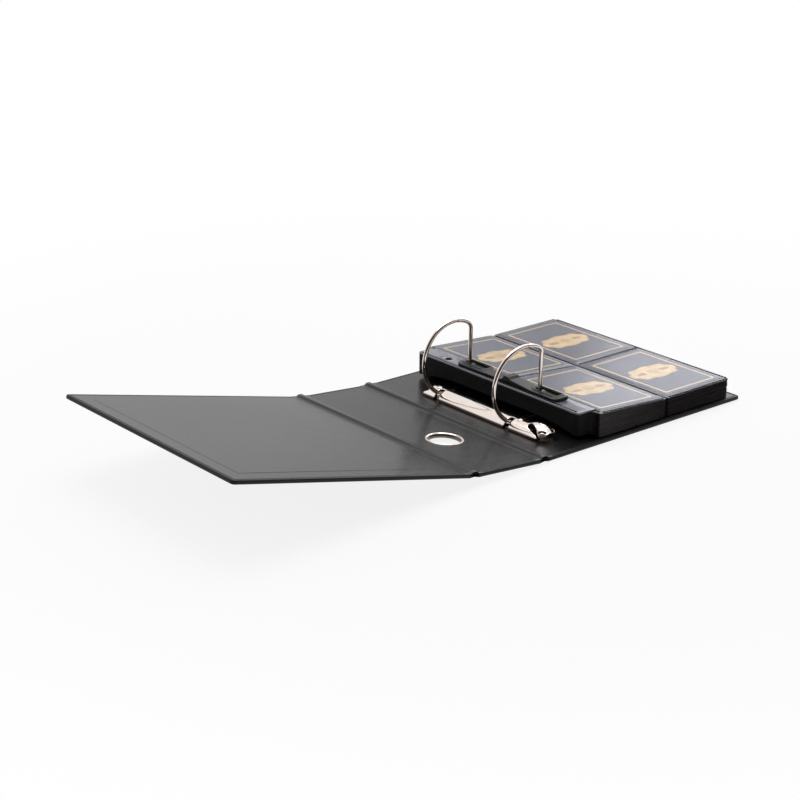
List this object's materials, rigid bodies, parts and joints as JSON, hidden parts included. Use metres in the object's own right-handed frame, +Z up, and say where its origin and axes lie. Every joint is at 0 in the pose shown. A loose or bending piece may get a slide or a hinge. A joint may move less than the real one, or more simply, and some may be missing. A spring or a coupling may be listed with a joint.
{
  "type": "trading card ring binder",
  "caption": "Open two-ring binder with a hinged case, nickel ring mechanism, page compressor bar and a stack of pocket pages holding trading cards.",
  "frame": {"origin": "centre of the back cover's underside, on the surface that the binder lies on", "axes": "+X from the spine towards the back cover's fore-edge, +Y along the spine towards the end without the lever, +Z up"},
  "size_m": [0.4899, 0.205, 0.0668],
  "materials": {
    "wrap": "fine leather-grain plastic skin, semi-matt black",
    "liner": "smooth black inner sheet with a very fine grain",
    "board": "grey bookbinding board",
    "welt": "flexible black hinge skin",
    "nickel": "bright nickel plate on steel",
    "compressor": "moulded black plastic with a soft sheen",
    "film": "black plastic page film",
    "card": "printed card, slate blue with thin gold border lines",
    "window": "clear glossy pocket film"
  },
  "bodies": {
    "back_cover": {"back_cover_wrap": "wrap", "back_cover_board": "board", "back_cover_liner": "liner", "spine_hinge_welt": "welt", "mechanism_plate": "nickel", "near_rivet": "nickel", "far_rivet": "nickel", "lever_pin": "nickel", "page_01": "film", "page_02": "film", "page_03": "film", "page_04": "film", "page_05": "film", "page_06": "film", "page_07": "film", "page_08": "film", "page_09": "film", "page_10": "film", "page_11": "film", "page_12": "film", "page_13": "film", "top_page_strip": "film"},
    "spine": {"spine_wrap": "wrap", "spine_board": "board", "spine_liner": "liner", "cover_hinge_welt": "welt", "finger_hole_grommet": "nickel", "finger_hole_washer": "nickel"},
    "front_cover": {"front_cover_wrap": "wrap", "front_cover_board": "board", "front_cover_liner": "liner"},
    "left_rings": {"left_blade": "nickel", "near_left_ring": "nickel", "far_left_ring": "nickel"},
    "right_rings": {"right_blade": "nickel", "near_right_ring": "nickel", "far_right_ring": "nickel"},
    "lever": {"opening_lever": "nickel"},
    "compressor": {"compressor_bar": "compressor"},
    "top_leaf": {"top_page_backing": "film", "near_inner_card": "card", "near_outer_card": "card", "far_inner_card": "card", "far_outer_card": "card", "near_inner_window": "window", "near_outer_window": "window", "far_inner_window": "window", "far_outer_window": "window"}
  },
  "joints": [
    {"name": "spine_hinge", "type": "hinge", "parent": "back_cover", "child": "spine", "pos_m": [-0.107, 0, 0.00155], "axis": [0, -1, 0], "range_deg": [-85.35, 4.65]},
    {"name": "cover_hinge", "type": "hinge", "parent": "spine", "child": "front_cover", "pos_m": [-0.17537, 0, 0.00711], "axis": [0, -1, 0], "range_deg": [-81.21, 8.79]},
    {"name": "ring_open", "type": "hinge", "parent": "back_cover", "child": "left_rings", "pos_m": [-0.087, 0, 0.0043], "axis": [0, -1, 0], "range_deg": [0, 14]},
    {"name": "right_ring_open", "type": "hinge", "parent": "back_cover", "child": "right_rings", "pos_m": [-0.071, 0, 0.0043], "axis": [0, 1, 0], "range_deg": [0, 7]},
    {"name": "lever_press", "type": "hinge", "parent": "back_cover", "child": "lever", "pos_m": [-0.079, -0.061, 0.0051], "axis": [1, 0, 0], "range_deg": [0, 8]},
    {"name": "compressor_slide", "type": "slide", "parent": "back_cover", "child": "compressor", "axis": [0, 0, -1], "range_m": [-0.025, 0]},
    {"name": "page_turn", "type": "hinge", "parent": "back_cover", "child": "top_leaf", "pos_m": [-0.0462, 0, 0.02367], "axis": [0, -1, 0], "range_deg": [0, 75]}
  ],
  "couplings": [
    {"joint": "right_ring_open", "follows": "ring_open", "ratio": 0.5},
    {"joint": "lever_press", "follows": "ring_open", "ratio": 0.57143}
  ]
}
